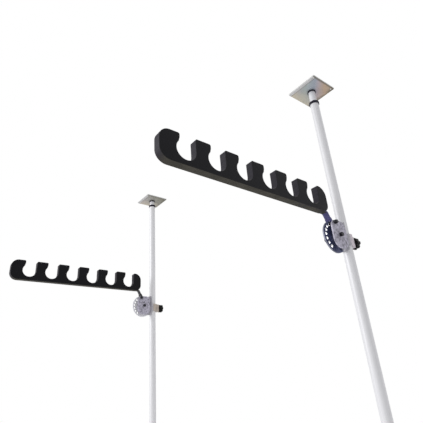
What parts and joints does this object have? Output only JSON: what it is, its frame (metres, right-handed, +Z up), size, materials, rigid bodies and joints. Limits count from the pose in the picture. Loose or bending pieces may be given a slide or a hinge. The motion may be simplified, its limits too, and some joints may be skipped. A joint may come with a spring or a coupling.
{
  "type": "rod rack",
  "caption": "Overhead rod rack: sprung floor-to-ceiling poles, each with a swivelling clamp and a folding arm that holds a slotted board for rods laid across both.",
  "frame": {"origin": "floor point under the front pole's axis", "axes": "+Z up the poles, +Y from the front pole to the back pole, -X along the boards to their free ends"},
  "size_m": [0.664, 1.01, 2.2],
  "materials": {
    "pole_tube": "satin anodised",
    "stub_tube": "bright anodised",
    "collar": "matt",
    "end_plate": "polished, slightly warm",
    "spring_steel": "plain",
    "hidden_plastic": "moulded",
    "liner": "moulded",
    "clamp_metal": "cast, bead blasted",
    "black_fastener": "black oxide",
    "bright_fastener": "zinc plated",
    "knob": "moulded, fine texture",
    "slate_plate": "slate blue powder coat",
    "slate_bar": "slate blue powder coat",
    "pale_plate": "pale lilac grey coat, holes dark",
    "graphite_bar": "graphite powder coat",
    "cheek_metal": "cast, lightly pitted",
    "cheek_screw": "flush heads",
    "board_plastic": "black sheet, satin, milled edges"
  },
  "bodies": {
    "poles": {"front_outer_tube": "pole_tube", "front_collar": "collar", "front_tension_spring": "spring_steel", "front_spring_seat": "hidden_plastic", "front_foot_plate": "end_plate", "front_foot_socket": "collar", "back_outer_tube": "pole_tube", "back_collar": "collar", "back_tension_spring": "spring_steel", "back_spring_seat": "hidden_plastic", "back_foot_plate": "end_plate", "back_foot_socket": "collar"},
    "front_pole_top": {"front_inner_tube": "stub_tube", "front_ceiling_plate": "end_plate", "front_ceiling_ring": "collar"},
    "front_liner": {"front_clamp_liner": "liner"},
    "front_clamp": {"front_clamp_body": "clamp_metal", "front_index_disc": "slate_plate", "front_disc_screws": "black_fastener"},
    "front_pad": {"front_pressure_pad": "bright_fastener"},
    "front_knob": {"front_knob": "knob", "front_clamp_stud": "bright_fastener"},
    "front_rack": {"front_arm": "slate_bar", "front_near_cheek": "cheek_metal", "front_far_cheek": "cheek_metal", "front_cheek_screws": "cheek_screw", "front_pivot_bolt": "black_fastener", "front_pivot_spacers": "bright_fastener", "front_pivot_nut": "black_fastener", "front_pin_barrel": "black_fastener", "front_pin_spring": "spring_steel", "front_board": "board_plastic", "front_board_screws": "black_fastener"},
    "front_pin": {"front_index_pin": "black_fastener"},
    "back_pole_top": {"back_inner_tube": "stub_tube", "back_ceiling_plate": "end_plate", "back_ceiling_ring": "collar"},
    "back_liner": {"back_clamp_liner": "liner"},
    "back_clamp": {"back_clamp_body": "clamp_metal", "back_index_disc": "pale_plate", "back_disc_screws": "black_fastener"},
    "back_pad": {"back_pressure_pad": "bright_fastener"},
    "back_knob": {"back_knob": "knob", "back_clamp_stud": "bright_fastener"},
    "back_rack": {"back_arm": "graphite_bar", "back_near_cheek": "cheek_metal", "back_far_cheek": "cheek_metal", "back_cheek_screws": "cheek_screw", "back_pivot_bolt": "black_fastener", "back_pivot_spacers": "bright_fastener", "back_pivot_nut": "black_fastener", "back_pin_barrel": "black_fastener", "back_pin_spring": "spring_steel", "back_board": "board_plastic", "back_board_screws": "black_fastener"},
    "back_pin": {"back_index_pin": "black_fastener"}
  },
  "joints": [
    {"name": "front_pole_spring", "type": "slide", "parent": "poles", "child": "front_pole_top", "axis": [0, 0, 1], "range_m": [-0.036, 0.04], "stiffness_N_per_m": 2500, "springref_m": 0.0015, "deforming": ["front_tension_spring"]},
    {"name": "front_clamp_height", "type": "slide", "parent": "poles", "child": "front_liner", "axis": [0, 0, 1], "range_m": [-0.75, 0.09]},
    {"name": "front_clamp_swivel", "type": "hinge", "parent": "front_liner", "child": "front_clamp", "pos_m": [0, 0, 1.7], "axis": [0, 0, 1], "range_deg": [-45, 90]},
    {"name": "front_rack_tilt", "type": "hinge", "parent": "front_clamp", "child": "front_rack", "pos_m": [-0.0485, 0, 1.7], "axis": [0, -1, 0], "range_deg": [-20, 100]},
    {"name": "front_pin_pull", "type": "slide", "parent": "front_rack", "child": "front_pin", "axis": [0, -1, 0], "range_m": [0, 0.006], "stiffness_N_per_m": 400, "springref_m": -0.004, "deforming": ["front_pin_spring"]},
    {"name": "front_pad_travel", "type": "slide", "parent": "front_clamp", "child": "front_pad", "axis": [1, 0, 0], "range_m": [0, 0.003]},
    {"name": "front_knob_turn", "type": "hinge", "parent": "front_pad", "child": "front_knob", "pos_m": [0, 0, 1.696], "axis": [1, 0, 0], "range_deg": [0, 1083]},
    {"name": "back_pole_spring", "type": "slide", "parent": "poles", "child": "back_pole_top", "axis": [0, 0, 1], "range_m": [-0.016, 0.04], "stiffness_N_per_m": 2500, "springref_m": 0.0015, "deforming": ["back_tension_spring"]},
    {"name": "back_clamp_height", "type": "slide", "parent": "poles", "child": "back_liner", "axis": [0, 0, 1], "range_m": [-0.75, 0.09]},
    {"name": "back_clamp_swivel", "type": "hinge", "parent": "back_liner", "child": "back_clamp", "pos_m": [-0.057, 0.91, 1.7], "axis": [0, 0, 1], "range_deg": [-90, 45]},
    {"name": "back_rack_tilt", "type": "hinge", "parent": "back_clamp", "child": "back_rack", "pos_m": [-0.1055, 0.91, 1.7], "axis": [0, -1, 0], "range_deg": [-20, 100]},
    {"name": "back_pin_pull", "type": "slide", "parent": "back_rack", "child": "back_pin", "axis": [0, -1, 0], "range_m": [0, 0.006], "stiffness_N_per_m": 400, "springref_m": -0.004, "deforming": ["back_pin_spring"]},
    {"name": "back_pad_travel", "type": "slide", "parent": "back_clamp", "child": "back_pad", "axis": [1, 0, 0], "range_m": [0, 0.003]},
    {"name": "back_knob_turn", "type": "hinge", "parent": "back_pad", "child": "back_knob", "pos_m": [-0.057, 0.91, 1.696], "axis": [1, 0, 0], "range_deg": [0, 1083]}
  ],
  "couplings": [
    {"joint": "front_knob_turn", "follows": "front_pad_travel", "rad_per_m": 6283.2},
    {"joint": "back_knob_turn", "follows": "back_pad_travel", "rad_per_m": 6283.2}
  ]
}
